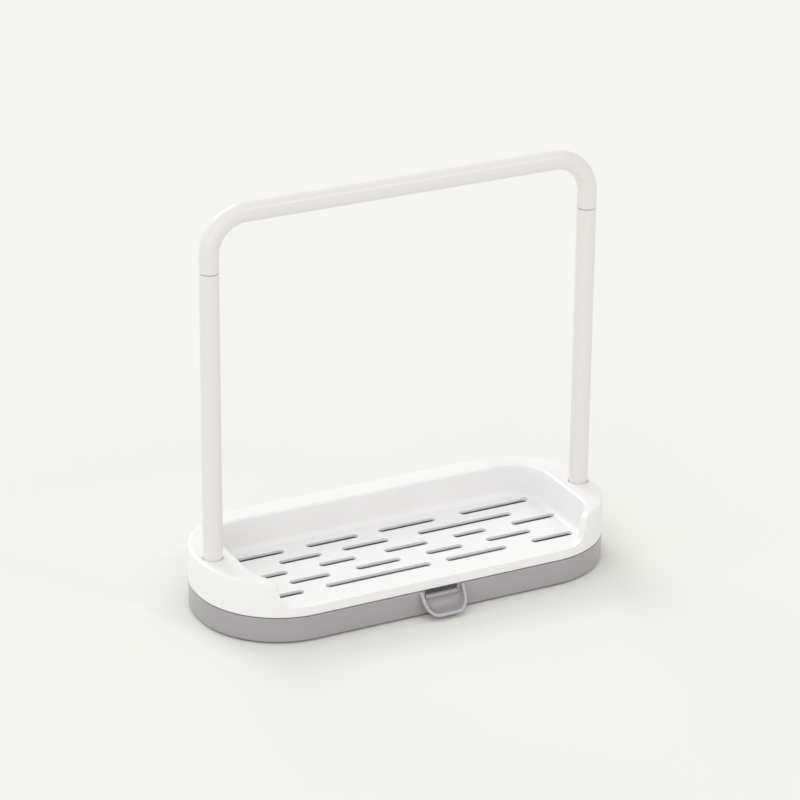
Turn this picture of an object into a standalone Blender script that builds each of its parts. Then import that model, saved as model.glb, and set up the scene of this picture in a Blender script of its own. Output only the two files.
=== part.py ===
"""Countertop towel rack with a drain shelf.

A grey drip tray stands on four feet. A white moulded shelf with a slotted floor sits on the
tray's rim, and two tubular posts and a bent top rail rise from its ends to carry a cloth.
Lengths are in metres. +Z is up, +X is along the rack and -Y is its front.
"""
import math

import bmesh
import bpy

MM = 0.001

# Fits that all pieces share
SEAT_GAP = 0.3 * MM
CUT_OVERRUN = 1.0 * MM
MERGE_DISTANCE = 0.01 * MM

# Footprint, the same for the tray and the shelf
BASE_LENGTH = 250.0 * MM
BASE_DEPTH = 102.0 * MM
BASE_END_FLAT = 4.0 * MM

# Drip tray
TRAY_HEIGHT = 14.5 * MM
TRAY_WALL = 2.0 * MM
TRAY_FLOOR = 2.2 * MM
TRAY_LOWER_EDGE_RADIUS = 1.0 * MM
TRAY_RIM_EDGE_RADIUS = 0.4 * MM
TRAY_INNER_FILLET = 3.0 * MM

# Pouring spout on the tray's front wall
SPOUT_SHIFT = 1.5 * MM
SPOUT_WIDTH = 28.6 * MM
SPOUT_SIDE_DRAFT = 0.5 * MM
SPOUT_REACH = 10.0 * MM
SPOUT_WALL = 1.9 * MM
SPOUT_FLOOR = 1.6 * MM
SPOUT_CORNER_RADIUS = 8.5 * MM
SPOUT_RISE = 1.5 * MM
SCOOP_SET_BACK = 1.0 * MM
SCOOP_REACH = 6.0 * MM
SCOOP_HEIGHT = 5.6 * MM
WEIR_WIDTH = 20.4 * MM
WEIR_DEPTH = 3.1 * MM
WEIR_CORNER_RADIUS = 1.2 * MM
WEIR_BEAD_RADIUS = 1.4 * MM

# Feet
FOOT_DIAMETER = 12.0 * MM
FOOT_STAND = 1.0 * MM
FOOT_SEAT_DEPTH = 0.7 * MM
FOOT_EDGE_RADIUS = 0.4 * MM
FOOT_END_INSET = 45.0 * MM
FOOT_SIDE_INSET = 20.0 * MM

# Drain shelf
SHELF_HEIGHT = 22.0 * MM
SHELF_WALL = 2.4 * MM
SHELF_TOP_THICKNESS = 2.0 * MM
SHELF_EDGE_RADIUS = 1.8 * MM
SHADOW_GAP_DEPTH = 1.2 * MM
SHADOW_GAP_HEIGHT = 0.4 * MM
LOCATING_RIB_HEIGHT = 3.3 * MM
LOCATING_RIB_THICKNESS = 1.6 * MM
LOCATING_RIB_CLEARANCE = 0.5 * MM
LOCATING_RIB_ROOT = 3.2 * MM

# Basin of the shelf, open at its front above a low lip
END_PLATFORM_WIDTH = 20.6 * MM
BASIN_CORNER_RADIUS = 22.9 * MM
BASIN_EDGE_RADIUS = 1.5 * MM
BASIN_FILLET = 4.0 * MM
BASIN_DRAFT = 1.5 * MM
BASIN_WALL = 2.0 * MM
BASIN_FLOOR_HEIGHT = 2.7 * MM
BASIN_FLOOR_THICKNESS = 1.6 * MM
BACK_LEDGE_WIDTH = 14.7 * MM
LIP_HEIGHT = 3.2 * MM
LIP_WIDTH = 4.0 * MM
LIP_RAMP_LENGTH = 9.5 * MM
LIP_EDGE_RADIUS = 1.4 * MM
WINDOW_SHIFT = 1.2 * MM
WINDOW_END_INSET = 10.6 * MM
WINDOW_SIDE_SLOPE = 1.3 * MM
WINDOW_LOWER_FILLET = 4.5 * MM
WINDOW_UPPER_ROUND = 5.5 * MM
WINDOW_FLARE = 1.6 * MM
WINDOW_SHOULDER_FLARE = 2.2 * MM
WINDOW_FILLET_FLARE = 2.6 * MM
WINDOW_FLARE_DEPTH = 2.3 * MM
WINDOW_FLARE_START = 6.1 * MM

# Slots in the basin's floor: each pair is where a slot starts and ends in its row, as shares of
# half the basin's length at its floor, and the rows run from the back to the front
SLOT_WIDTH = 4.8 * MM
SLOT_ROWS_BACK_MARGIN = 6.6 * MM
SLOT_ROWS_FRONT_MARGIN = 10.9 * MM
SLOT_ROW_SHARES = (
    ((-0.915, -0.588), (-0.450, -0.131), (-0.005, 0.351), (0.510, 0.944)),
    ((-0.674, -0.418), (-0.289, -0.003), (0.181, 0.772)),
    ((-0.918, -0.682), (-0.490, -0.267), (-0.089, 0.178), (0.338, 0.543), (0.708, 0.979)),
    ((-0.728, -0.483), (-0.326, -0.053), (0.104, 0.331), (0.482, 0.762)),
    ((-0.918, -0.702), (-0.569, 0.070), (0.165, 0.541), (0.699, 0.957)),
)

# Tubes of the rack
TUBE_DIAMETER = 11.0 * MM
TUBE_WALL = 1.0 * MM
TUBE_END_CHAMFER = 0.3 * MM
POST_END_INSET = 9.0 * MM
POST_SET_FORWARD = 2.0 * MM
POST_LENGTH = 183.3 * MM
SEAM_GAP = 0.4 * MM
RAIL_LEG_LENGTH = 9.3 * MM
RAIL_BEND_RADIUS = 21.5 * MM

# Joiners between the posts and the rail
JOINER_IN_POST = 22.0 * MM
JOINER_IN_RAIL = 8.5 * MM
JOINER_CHAMFER = 0.8 * MM

# Post sockets in the shelf, and what fastens a post in its socket
SOCKET_DEPTH = 15.0 * MM
SOCKET_BOSS_WALL = 3.4 * MM
SOCKET_WEB = 2.4 * MM
PLUG_LENGTH = 12.0 * MM
PLUG_CHAMFER = 0.5 * MM
SCREW_DIAMETER = 4.0 * MM
SCREW_LENGTH = 14.0 * MM
SCREW_HEAD_DIAMETER = 7.6 * MM
SCREW_HEAD_HEIGHT = 2.6 * MM
SCREW_HEAD_EDGE_RADIUS = 0.8 * MM
WASHER_DIAMETER = 9.5 * MM
WASHER_THICKNESS = 0.8 * MM

# How finely round shapes are divided
CORNER_STEPS = 13
EDGE_STEPS = 3
TURN_STEPS = 28
BEND_STEPS = 9
SLOT_END_STEPS = 6
TUBE_BEVEL_RESOLUTION = 10

# Levels that follow from the sizes above
TRAY_BOTTOM = FOOT_STAND
TRAY_TOP = TRAY_BOTTOM + TRAY_HEIGHT
TRAY_FLOOR_TOP = TRAY_BOTTOM + TRAY_FLOOR
SHELF_SEAT = TRAY_TOP + SEAT_GAP
SHELF_TOP = SHELF_SEAT + SHELF_HEIGHT
BASIN_FLOOR_TOP = SHELF_SEAT + BASIN_FLOOR_HEIGHT
BASIN_FLOOR_UNDERSIDE = BASIN_FLOOR_TOP - BASIN_FLOOR_THICKNESS
LIP_TOP = BASIN_FLOOR_TOP + LIP_HEIGHT
SOCKET_FLOOR = SHELF_TOP - SOCKET_DEPTH
SOCKET_WEB_UNDERSIDE = SOCKET_FLOOR - SOCKET_WEB
POST_BOTTOM = SOCKET_FLOOR + SEAT_GAP
WASHER_TOP = SOCKET_WEB_UNDERSIDE - SEAT_GAP
SCREW_HEAD_TOP = WASHER_TOP - WASHER_THICKNESS - SEAT_GAP
POST_TOP = POST_BOTTOM + POST_LENGTH
RAIL_BOTTOM = POST_TOP + SEAM_GAP
RAIL_HEIGHT = RAIL_BOTTOM + RAIL_LEG_LENGTH + RAIL_BEND_RADIUS

# Places that follow from the sizes above
BASE_CENTRE_Y = SPOUT_REACH / 2
BASE_FRONT = -BASE_DEPTH / 2
BASE_CORNER_RADIUS = (BASE_DEPTH - BASE_END_FLAT) / 2
BASIN_HALF_LENGTH = BASE_LENGTH / 2 - END_PLATFORM_WIDTH
BASIN_BACK = BASE_DEPTH / 2 - BACK_LEDGE_WIDTH
BASIN_FRONT = BASE_FRONT + LIP_WIDTH
POST_X = BASE_LENGTH / 2 - POST_END_INSET
POST_Y = -POST_SET_FORWARD
TUBE_RADIUS = TUBE_DIAMETER / 2
TUBE_BORE_RADIUS = TUBE_RADIUS - TUBE_WALL
SCREW_HOLE_RADIUS = SCREW_DIAMETER / 2 + SEAT_GAP
SIDES = (("left", -1), ("right", 1))

# Scene set-up

for stale in list(bpy.data.objects):
    bpy.data.objects.remove(stale, do_unlink=True)

RACK = bpy.data.collections.new("towel_rack_with_drain_shelf")
CUTTERS = bpy.data.collections.new("cutters")
bpy.context.scene.collection.children.link(RACK)
bpy.context.scene.collection.children.link(CUTTERS)


def empty(name, parent=None):
    """An axis that pieces hang from."""
    axis = bpy.data.objects.new(name, None)
    axis.parent = parent
    RACK.objects.link(axis)
    return axis


def material(name, color, roughness, metallic=0.0):
    """A plain finish: colour, roughness and metallic value."""
    finish = bpy.data.materials.new(name)
    finish.use_nodes = True
    shader = finish.node_tree.nodes["Principled BSDF"]
    shader.inputs["Base Color"].default_value = (*color, 1.0)
    shader.inputs["Roughness"].default_value = roughness
    shader.inputs["Metallic"].default_value = metallic
    finish.diffuse_color = (*color, 1.0)
    return finish


WHITE_PLASTIC = material("white_plastic", (0.86, 0.86, 0.84), 0.42)
GREY_PLASTIC = material("grey_plastic", (0.37, 0.36, 0.37), 0.50)
WHITE_COATING = material("white_coating", (0.84, 0.84, 0.82), 0.38)
FOOT_RUBBER = material("foot_rubber", (0.30, 0.30, 0.30), 0.80)
INNER_PLASTIC = material("inner_plastic", (0.70, 0.70, 0.68), 0.50)
STEEL = material("steel", (0.62, 0.62, 0.62), 0.30, 1.0)

ORIGIN = empty("rack_axis")
ORIGIN.location = (0, BASE_CENTRE_Y, 0)
LIFT_AXIS = empty("shelf_lift_axis", ORIGIN)


# Shape helpers

def place(name, mesh, finish=None, parent=ORIGIN):
    """Puts a mesh in the scene: as a piece if it has a finish, and as a cutter if it has none."""
    piece = bpy.data.objects.new(name, mesh)
    piece.parent = parent
    if finish is None:
        CUTTERS.objects.link(piece)
        piece.hide_render = True
        piece.display_type = "WIRE"
    else:
        RACK.objects.link(piece)
        mesh.materials.append(finish)
    return piece


def even_shading(piece):
    """Large flat faces keep their flat look beside rounded edges."""
    normals = piece.modifiers.new("even_shading", "WEIGHTED_NORMAL")
    normals.keep_sharp = True


def boolean(target, tool, operation="DIFFERENCE"):
    """Cuts a tool out of a piece, or joins it on."""
    step = target.modifiers.new(tool.name, "BOOLEAN")
    step.object = tool
    step.operation = operation
    step.solver = "EXACT"


def arc(centre, radius, start, end, steps):
    """Points along an arc, from one angle in degrees to another."""
    angles = [math.radians(start + (end - start) * i / steps) for i in range(steps + 1)]
    return [(centre[0] + radius * math.cos(a), centre[1] + radius * math.sin(a)) for a in angles]


def rounded_ring(half_length, front, back, radius, z):
    """A rectangle with round corners at one level, anticlockwise from above."""
    radius = max(min(radius, half_length, (back - front) / 2), SEAT_GAP)
    x = half_length - radius
    corners = (
        ((x, back - radius), 0),
        ((-x, back - radius), 90),
        ((-x, front + radius), 180),
        ((x, front + radius), 270),
    )
    points = []
    for centre, start in corners:
        points += arc(centre, radius, start, start + 90, CORNER_STEPS)
    return [(px, py, z) for px, py in points]


def base_ring(inset, z):
    """The rack's footprint, drawn in by an inset, at one level."""
    return rounded_ring(
        BASE_LENGTH / 2 - inset,
        BASE_FRONT + inset,
        BASE_DEPTH / 2 - inset,
        BASE_CORNER_RADIUS - inset,
        z,
    )


def loft(name, *stacks):
    """A mesh of closed bodies, each through a stack of rings with the same number of points."""
    bm = bmesh.new()
    for rings in stacks:
        levels = [[bm.verts.new(point) for point in ring] for ring in rings]
        for lower, upper in zip(levels, levels[1:]):
            for i in range(len(lower)):
                bm.faces.new((lower[i - 1], lower[i], upper[i], upper[i - 1]))
        bm.faces.new(list(reversed(levels[0])))
        bm.faces.new(levels[-1])
    bmesh.ops.remove_doubles(bm, verts=bm.verts, dist=MERGE_DISTANCE)
    bmesh.ops.recalc_face_normals(bm, faces=bm.faces)
    mesh = bpy.data.meshes.new(name)
    bm.to_mesh(mesh)
    bm.free()
    mesh.shade_smooth()
    mesh.set_sharp_from_angle(angle=math.radians(35))
    return mesh


def pushed(name, outlines, offset):
    """Flat outlines, pushed along an offset into closed bodies."""
    bm = bmesh.new()
    faces = [bm.faces.new([bm.verts.new(point) for point in outline]) for outline in outlines]
    copies = bmesh.ops.extrude_face_region(bm, geom=faces)["geom"]
    moved = [part for part in copies if isinstance(part, bmesh.types.BMVert)]
    bmesh.ops.translate(bm, verts=moved, vec=offset)
    bmesh.ops.recalc_face_normals(bm, faces=bm.faces)
    mesh = bpy.data.meshes.new(name)
    bm.to_mesh(mesh)
    bm.free()
    return mesh


def along_y(name, outline, start, end):
    """An outline in X and Z, pushed along Y."""
    return pushed(name, [[(x, start, z) for x, z in outline]], (0, end - start, 0))


def cylinder(name, radius, bottom, top, x, y, parent=ORIGIN):
    """A round cutter that stands on its end."""
    bm = bmesh.new()
    bmesh.ops.create_cone(
        bm, cap_ends=True, segments=TURN_STEPS, radius1=radius, radius2=radius, depth=top - bottom
    )
    mesh = bpy.data.meshes.new(name)
    bm.to_mesh(mesh)
    bm.free()
    tool = place(name, mesh, parent=parent)
    tool.location = (x, y, (top + bottom) / 2)
    return tool


def turned(name, profile, finish, x, y, parent, closed=False):
    """A piece turned about a vertical axis from a profile of radius and height."""
    mesh = bpy.data.meshes.new(name)
    last = len(profile) - 1
    edges = [(i, i + 1) for i in range(last)] + ([(last, 0)] if closed else [])
    mesh.from_pydata([(r, 0, z) for r, z in profile], edges, [])
    piece = place(name, mesh, finish, parent)
    piece.location = (x, y, 0)
    screw = piece.modifiers.new("turn", "SCREW")
    screw.steps = TURN_STEPS
    screw.render_steps = TURN_STEPS
    screw.use_merge_vertices = True
    screw.merge_threshold = MERGE_DISTANCE
    screw.use_smooth_shade = True
    return piece


def edge_steps(radius):
    """Inset and drop of each step of a rounded edge, from the flat face to the side."""
    for i in range(EDGE_STEPS + 1):
        angle = math.radians(90 * i / EDGE_STEPS)
        yield radius * (1 - math.sin(angle)), radius * (1 - math.cos(angle))


# Drip tray: one grey moulding, open at the top

def tray_solid():
    """The tray's outer shape."""
    rings = [base_ring(inset, TRAY_BOTTOM + rise) for inset, rise in edge_steps(TRAY_LOWER_EDGE_RADIUS)]
    rim = [base_ring(inset, TRAY_TOP - drop) for inset, drop in edge_steps(TRAY_RIM_EDGE_RADIUS)]
    return loft("drip_tray", rings + list(reversed(rim)))


def tray_cavity():
    """What is hollowed out of the tray."""
    rings = [
        base_ring(TRAY_WALL + inset, TRAY_FLOOR_TOP + rise) for inset, rise in edge_steps(TRAY_INNER_FILLET)
    ]
    return loft("tray_cavity", rings + [base_ring(TRAY_WALL, TRAY_TOP + CUT_OVERRUN)])


def spout_outline(half_width, bottom, radius, top):
    """The spout's U, with drafted sides and round lower corners."""
    lower_half = half_width - SPOUT_SIDE_DRAFT
    radius = min(radius, TRAY_TOP - bottom)
    right = arc((lower_half - radius, bottom + radius), radius, -90, 0, EDGE_STEPS * 3)
    left = [(-x, z) for x, z in reversed(right)]
    flare = SPOUT_SIDE_DRAFT * (top - bottom) / (TRAY_TOP - bottom)
    outline = [(lower_half + flare, top), (-lower_half - flare, top)] + left + right
    return [(x + SPOUT_SHIFT, z) for x, z in outline]


def spout_body():
    """The spout's outer shape, cut off along the slope of its rim."""
    bottom = TRAY_BOTTOM + SPOUT_RISE
    outline = spout_outline(SPOUT_WIDTH / 2, bottom, SPOUT_CORNER_RADIUS, TRAY_TOP)
    mesh = along_y(
        "spout_body", outline, BASE_FRONT - SPOUT_REACH - CUT_OVERRUN, BASE_FRONT + TRAY_WALL / 2
    )
    bm = bmesh.new()
    bm.from_mesh(mesh)
    cut = bmesh.ops.bisect_plane(
        bm,
        geom=bm.verts[:] + bm.edges[:] + bm.faces[:],
        plane_co=(0, BASE_FRONT, TRAY_TOP),
        plane_no=(0, bottom - TRAY_TOP, SPOUT_REACH),
        clear_outer=True,
    )
    open_edges = [part for part in cut["geom_cut"] if isinstance(part, bmesh.types.BMEdge)]
    bmesh.ops.contextual_create(bm, geom=open_edges)
    bmesh.ops.recalc_face_normals(bm, faces=bm.faces)
    bm.to_mesh(mesh)
    bm.free()
    return mesh


def spout_channel():
    """The hollow of the spout, which scoops down from inside the tray's wall to a level floor."""
    floor = TRAY_BOTTOM + SPOUT_RISE + SPOUT_FLOOR
    steps = EDGE_STEPS * 2
    stations = []
    for i in range(steps + 1):
        angle = math.radians(90 * i / steps)
        y = BASE_FRONT + SCOOP_SET_BACK - SCOOP_REACH * (1 - math.cos(angle))
        stations.append((y, floor + SCOOP_HEIGHT * (1 - math.sin(angle))))
    stations.append((BASE_FRONT - SPOUT_REACH - CUT_OVERRUN, floor))
    half = SPOUT_WIDTH / 2 - SPOUT_WALL
    radius = SPOUT_CORNER_RADIUS - SPOUT_WALL
    rings = []
    for y, bottom in stations:
        outline = spout_outline(half, bottom, radius, TRAY_TOP + CUT_OVERRUN)
        rings.append([(x, y, z) for x, z in outline])
    return loft("spout_channel", rings)


def weir_notch():
    """The low stretch of the tray's wall, which water runs over into the spout."""
    half = WEIR_WIDTH / 2
    bottom = TRAY_TOP - WEIR_DEPTH
    top = TRAY_TOP + CUT_OVERRUN
    centre = (half - WEIR_CORNER_RADIUS, bottom + WEIR_CORNER_RADIUS)
    right = arc(centre, WEIR_CORNER_RADIUS, -90, 0, EDGE_STEPS * 2)
    left = [(-x, z) for x, z in reversed(right)]
    outline = [(x + SPOUT_SHIFT, z) for x, z in [(half, top), (-half, top)] + left + right]
    return along_y("weir_notch", outline, BASE_FRONT - CUT_OVERRUN, BASE_FRONT + TRAY_WALL + CUT_OVERRUN)


def weir_bead():
    """A round bead along the top of the weir, which overhangs the scoop in front of it."""
    bead = cylinder(
        "weir_bead",
        WEIR_BEAD_RADIUS,
        -WEIR_WIDTH / 2,
        WEIR_WIDTH / 2,
        SPOUT_SHIFT,
        BASE_FRONT + SCOOP_SET_BACK,
    )
    bead.rotation_euler = (0, math.radians(90), 0)
    bead.location.z = TRAY_TOP - WEIR_DEPTH - WEIR_BEAD_RADIUS
    return bead


def foot_places():
    """Where the feet stand, by name."""
    foot_x = BASE_LENGTH / 2 - FOOT_END_INSET
    foot_y = BASE_DEPTH / 2 - FOOT_SIDE_INSET
    for row, direction in (("front", -1), ("rear", 1)):
        for side, sign in SIDES:
            yield f"{row}_{side}", sign * foot_x, direction * foot_y


drip_tray = place("drip_tray", tray_solid(), GREY_PLASTIC)
boolean(drip_tray, place("spout_body", spout_body()), "UNION")
boolean(drip_tray, place("tray_cavity", tray_cavity()))
boolean(drip_tray, place("spout_channel", spout_channel()))
boolean(drip_tray, weir_bead(), "UNION")
boolean(drip_tray, place("weir_notch", weir_notch()))
for corner, foot_x, foot_y in foot_places():
    seat = cylinder(
        f"{corner}_foot_seat",
        FOOT_DIAMETER / 2 + SEAT_GAP,
        TRAY_BOTTOM - CUT_OVERRUN,
        TRAY_BOTTOM + FOOT_SEAT_DEPTH,
        foot_x,
        foot_y,
    )
    boolean(drip_tray, seat)
even_shading(drip_tray)


# Feet: soft discs in shallow seats under the tray

def foot_profile():
    """Half of a foot, from its top centre to its underside."""
    radius = FOOT_DIAMETER / 2
    top = TRAY_BOTTOM + FOOT_SEAT_DEPTH - SEAT_GAP
    lower = [(radius - inset, rise) for inset, rise in edge_steps(FOOT_EDGE_RADIUS)]
    return [(0, top), (radius, top)] + list(reversed(lower)) + [(0, 0)]


for corner, foot_x, foot_y in foot_places():
    turned(f"{corner}_foot", foot_profile(), FOOT_RUBBER, foot_x, foot_y, ORIGIN)


# Drain shelf: one white moulding, hollow underneath

RIB_INSET = TRAY_WALL + LOCATING_RIB_CLEARANCE
RIB_INNER_INSET = RIB_INSET + LOCATING_RIB_THICKNESS
SKIRT_BOTTOM = SHELF_SEAT + SHADOW_GAP_HEIGHT
FLOOR_HALF_LENGTH = BASIN_HALF_LENGTH - BASIN_DRAFT


def shelf_body():
    """The shelf's outer shape, which starts below its skirt and is trimmed later."""
    top = [base_ring(inset, SHELF_TOP - drop) for inset, drop in edge_steps(SHELF_EDGE_RADIUS)]
    return loft("drain_shelf", [base_ring(0, SHELF_SEAT - LOCATING_RIB_HEIGHT)] + list(reversed(top)))


def window_ring(flare, shoulder_flare, fillet_flare, y):
    """The front opening at one place in its wall: leaning sides, a fillet below, a round above."""
    half = BASIN_HALF_LENGTH - WINDOW_END_INSET + flare
    shoulder_x = BASIN_HALF_LENGTH - WINDOW_END_INSET + WINDOW_SIDE_SLOPE + shoulder_flare
    radius = WINDOW_LOWER_FILLET + fillet_flare
    foot = arc((half - radius, LIP_TOP + radius), radius, -90, 0, EDGE_STEPS * 2)
    radius = WINDOW_UPPER_ROUND
    shoulder = arc((shoulder_x + radius, SHELF_TOP - radius), radius, 180, 90, EDGE_STEPS)
    right = foot + shoulder
    right.append((right[-1][0], SHELF_TOP + CUT_OVERRUN))
    left = [(-x, z) for x, z in reversed(right)]
    return [(x - WINDOW_SHIFT, y, z) for x, z in right + left]


def window():
    """The front opening, which flares towards the outside."""
    inner_y = BASE_FRONT + WINDOW_FLARE_START
    outer_y = BASE_FRONT - CUT_OVERRUN
    steepness = (inner_y - outer_y) / WINDOW_FLARE_DEPTH
    flares = (WINDOW_FLARE, WINDOW_SHOULDER_FLARE, WINDOW_FILLET_FLARE)
    return loft(
        "window",
        [
            window_ring(*[flare * steepness for flare in flares], outer_y),
            window_ring(0, 0, 0, inner_y),
            window_ring(0, 0, 0, BASIN_FRONT + LIP_RAMP_LENGTH),
        ],
    )


def skirt_trim():
    """What is cut off below the skirt, all the way across."""
    below = SHELF_SEAT - LOCATING_RIB_HEIGHT - CUT_OVERRUN
    return loft("skirt_trim", [base_ring(-CUT_OVERRUN, z) for z in (below, SKIRT_BOTTOM)])


def shelf_foot():
    """The seat on the tray's rim, set back for a shadow gap, and the rib that drops inside the rim."""
    return loft(
        "shelf_foot",
        [
            base_ring(RIB_INSET, SHELF_SEAT - LOCATING_RIB_HEIGHT),
            base_ring(RIB_INSET, SHELF_SEAT),
            base_ring(SHADOW_GAP_DEPTH, SHELF_SEAT),
            base_ring(SHADOW_GAP_DEPTH, BASIN_FLOOR_TOP),
        ],
    )


def basin_ring(inset, front, z):
    """The basin's outline, drawn in by an inset at its sides and back, at one level."""
    return rounded_ring(
        BASIN_HALF_LENGTH - inset, front, BASIN_BACK - inset, BASIN_CORNER_RADIUS - inset, z
    )


def basin_hollow():
    """The basin: a ramp up to the lip, a fillet, drafted walls and a rounded upper edge."""
    rings = []
    for inset, rise in edge_steps(BASIN_FILLET):
        climb = math.sqrt(min(rise / LIP_HEIGHT, 1.0))
        front = BASIN_FRONT + LIP_RAMP_LENGTH * (1 - climb)
        rings.append(basin_ring(BASIN_DRAFT + inset, front, BASIN_FLOOR_TOP + rise))
    for drop, flare in edge_steps(BASIN_EDGE_RADIUS):
        rings.append(basin_ring(-flare, BASIN_FRONT, SHELF_TOP - drop))
    rings.append(basin_ring(-BASIN_EDGE_RADIUS, BASIN_FRONT, SHELF_TOP + CUT_OVERRUN))
    return loft("basin_hollow", rings)


def underside_hollow():
    """The space inside the skirt, and above it behind the walls of the end platforms and the back."""
    band_top = BASIN_FLOOR_UNDERSIDE + LOCATING_RIB_ROOT
    step = RIB_INNER_INSET - SHELF_WALL
    return loft(
        "underside_hollow",
        [
            base_ring(RIB_INNER_INSET, SHELF_SEAT - LOCATING_RIB_HEIGHT - CUT_OVERRUN),
            base_ring(RIB_INNER_INSET, band_top),
            base_ring(SHELF_WALL, band_top + step),
            base_ring(SHELF_WALL, SHELF_TOP - SHELF_TOP_THICKNESS),
        ],
    )


def basin_shell():
    """The basin grown by its wall and floor: the hollow underneath stops at it."""
    front = BASE_FRONT - CUT_OVERRUN
    return loft(
        "basin_shell",
        [
            basin_ring(BASIN_DRAFT - BASIN_WALL, front, BASIN_FLOOR_UNDERSIDE),
            basin_ring(-BASIN_WALL, front, SHELF_TOP),
        ],
    )


def solid_front():
    """The stretch along the front where the walls are too close for a hollow between them."""
    back = BASIN_FRONT + LIP_RAMP_LENGTH
    front = BASE_FRONT - CUT_OVERRUN
    bm = bmesh.new()
    bmesh.ops.create_cube(bm, size=1)
    bmesh.ops.scale(bm, verts=bm.verts, vec=(BASE_LENGTH, back - front, SHELF_TOP - BASIN_FLOOR_UNDERSIDE))
    bmesh.ops.translate(
        bm, verts=bm.verts, vec=(0, (back + front) / 2, (SHELF_TOP + BASIN_FLOOR_UNDERSIDE) / 2)
    )
    mesh = bpy.data.meshes.new("solid_front")
    bm.to_mesh(mesh)
    bm.free()
    return mesh


def rib_break():
    """A gap in the locating rib behind the spout, so that water reaches the weir."""
    left = SPOUT_SHIFT - WEIR_WIDTH / 2 - WEIR_CORNER_RADIUS
    right = SPOUT_SHIFT + WEIR_WIDTH / 2 + WEIR_CORNER_RADIUS
    bottom = SHELF_SEAT - LOCATING_RIB_HEIGHT - CUT_OVERRUN
    top = BASIN_FLOOR_UNDERSIDE
    outline = [(right, bottom), (right, top), (left, top), (left, bottom)]
    return along_y("rib_break", outline, BASE_FRONT + TRAY_WALL, BASE_FRONT + RIB_INNER_INSET + CUT_OVERRUN)


def slot_outline(start, end, y, z):
    """A slot's outline with round ends, at one level."""
    radius = SLOT_WIDTH / 2
    points = arc((end - radius, y), radius, -90, 90, SLOT_END_STEPS)
    points += arc((start + radius, y), radius, 90, 270, SLOT_END_STEPS)
    return [(px, py, z) for px, py in points]


def slots():
    """All the slots in the basin's floor, row by row from the back."""
    bottom = BASIN_FLOOR_UNDERSIDE - CUT_OVERRUN
    back_row = BASIN_BACK - BASIN_DRAFT - BASIN_FILLET - SLOT_ROWS_BACK_MARGIN
    front_row = BASIN_FRONT + LIP_RAMP_LENGTH + SLOT_ROWS_FRONT_MARGIN
    outlines = []
    for row, spans in enumerate(SLOT_ROW_SHARES):
        y = back_row + (front_row - back_row) * row / (len(SLOT_ROW_SHARES) - 1)
        for start, end in spans:
            outlines.append(slot_outline(start * FLOOR_HALF_LENGTH, end * FLOOR_HALF_LENGTH, y, bottom))
    return pushed("slots", outlines, (0, 0, BASIN_FLOOR_TOP + CUT_OVERRUN - bottom))


def post_places():
    """Where the posts stand, by side."""
    for side, sign in SIDES:
        yield side, sign * POST_X, POST_Y


hollow = place("underside_hollow", underside_hollow(), parent=LIFT_AXIS)
boolean(hollow, place("basin_shell", basin_shell(), parent=LIFT_AXIS))
boolean(hollow, place("solid_front", solid_front(), parent=LIFT_AXIS))
for side, post_x, post_y in post_places():
    boss_radius = TUBE_RADIUS + SEAT_GAP + SOCKET_BOSS_WALL
    boss = cylinder(
        f"{side}_boss", boss_radius, SOCKET_WEB_UNDERSIDE, SHELF_TOP, post_x, post_y, LIFT_AXIS
    )
    boolean(hollow, boss)

drain_shelf = place("drain_shelf", shelf_body(), WHITE_PLASTIC, LIFT_AXIS)
boolean(drain_shelf, place("window", window(), parent=LIFT_AXIS))
lip_edge = drain_shelf.modifiers.new("lip_edge", "BEVEL")
lip_edge.width = LIP_EDGE_RADIUS
lip_edge.segments = EDGE_STEPS
lip_edge.limit_method = "ANGLE"
lip_edge.angle_limit = math.radians(40)
boolean(drain_shelf, place("skirt_trim", skirt_trim(), parent=LIFT_AXIS))
boolean(drain_shelf, place("shelf_foot", shelf_foot(), parent=LIFT_AXIS), "UNION")
boolean(drain_shelf, place("basin_hollow", basin_hollow(), parent=LIFT_AXIS))
boolean(drain_shelf, hollow)
boolean(drain_shelf, place("rib_break", rib_break(), parent=LIFT_AXIS))
boolean(drain_shelf, place("slots", slots(), parent=LIFT_AXIS))
for side, post_x, post_y in post_places():
    socket = cylinder(
        f"{side}_socket",
        TUBE_RADIUS + SEAT_GAP,
        SOCKET_FLOOR,
        SHELF_TOP + CUT_OVERRUN,
        post_x,
        post_y,
        LIFT_AXIS,
    )
    boolean(drain_shelf, socket)
    screw_hole = cylinder(
        f"{side}_screw_hole",
        SCREW_HOLE_RADIUS,
        SOCKET_WEB_UNDERSIDE - CUT_OVERRUN,
        SOCKET_FLOOR + CUT_OVERRUN,
        post_x,
        post_y,
        LIFT_AXIS,
    )
    boolean(drain_shelf, screw_hole)
even_shading(drain_shelf)


# Posts: straight coated tubes that stand in the shelf's sockets

def post_profile():
    """A tube's wall, with small chamfers at both ends."""
    chamfered = TUBE_RADIUS - TUBE_END_CHAMFER
    return [
        (chamfered, POST_TOP),
        (TUBE_RADIUS, POST_TOP - TUBE_END_CHAMFER),
        (TUBE_RADIUS, POST_BOTTOM + TUBE_END_CHAMFER),
        (chamfered, POST_BOTTOM),
        (TUBE_BORE_RADIUS, POST_BOTTOM),
        (TUBE_BORE_RADIUS, POST_TOP),
    ]


for side, post_x, post_y in post_places():
    turned(f"{side}_post", post_profile(), WHITE_COATING, post_x, post_y, LIFT_AXIS, closed=True)


# Top rail: one tube, bent down at both ends to meet the posts

def rail_path(overrun):
    """The rail's centre line from one end to the other, in X and Z."""
    bend = (POST_X - RAIL_BEND_RADIUS, RAIL_HEIGHT - RAIL_BEND_RADIUS)
    right = [(POST_X, RAIL_BOTTOM - overrun)] + arc(bend, RAIL_BEND_RADIUS, 0, 90, BEND_STEPS)
    return right + [(-px, pz) for px, pz in reversed(right)]


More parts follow.
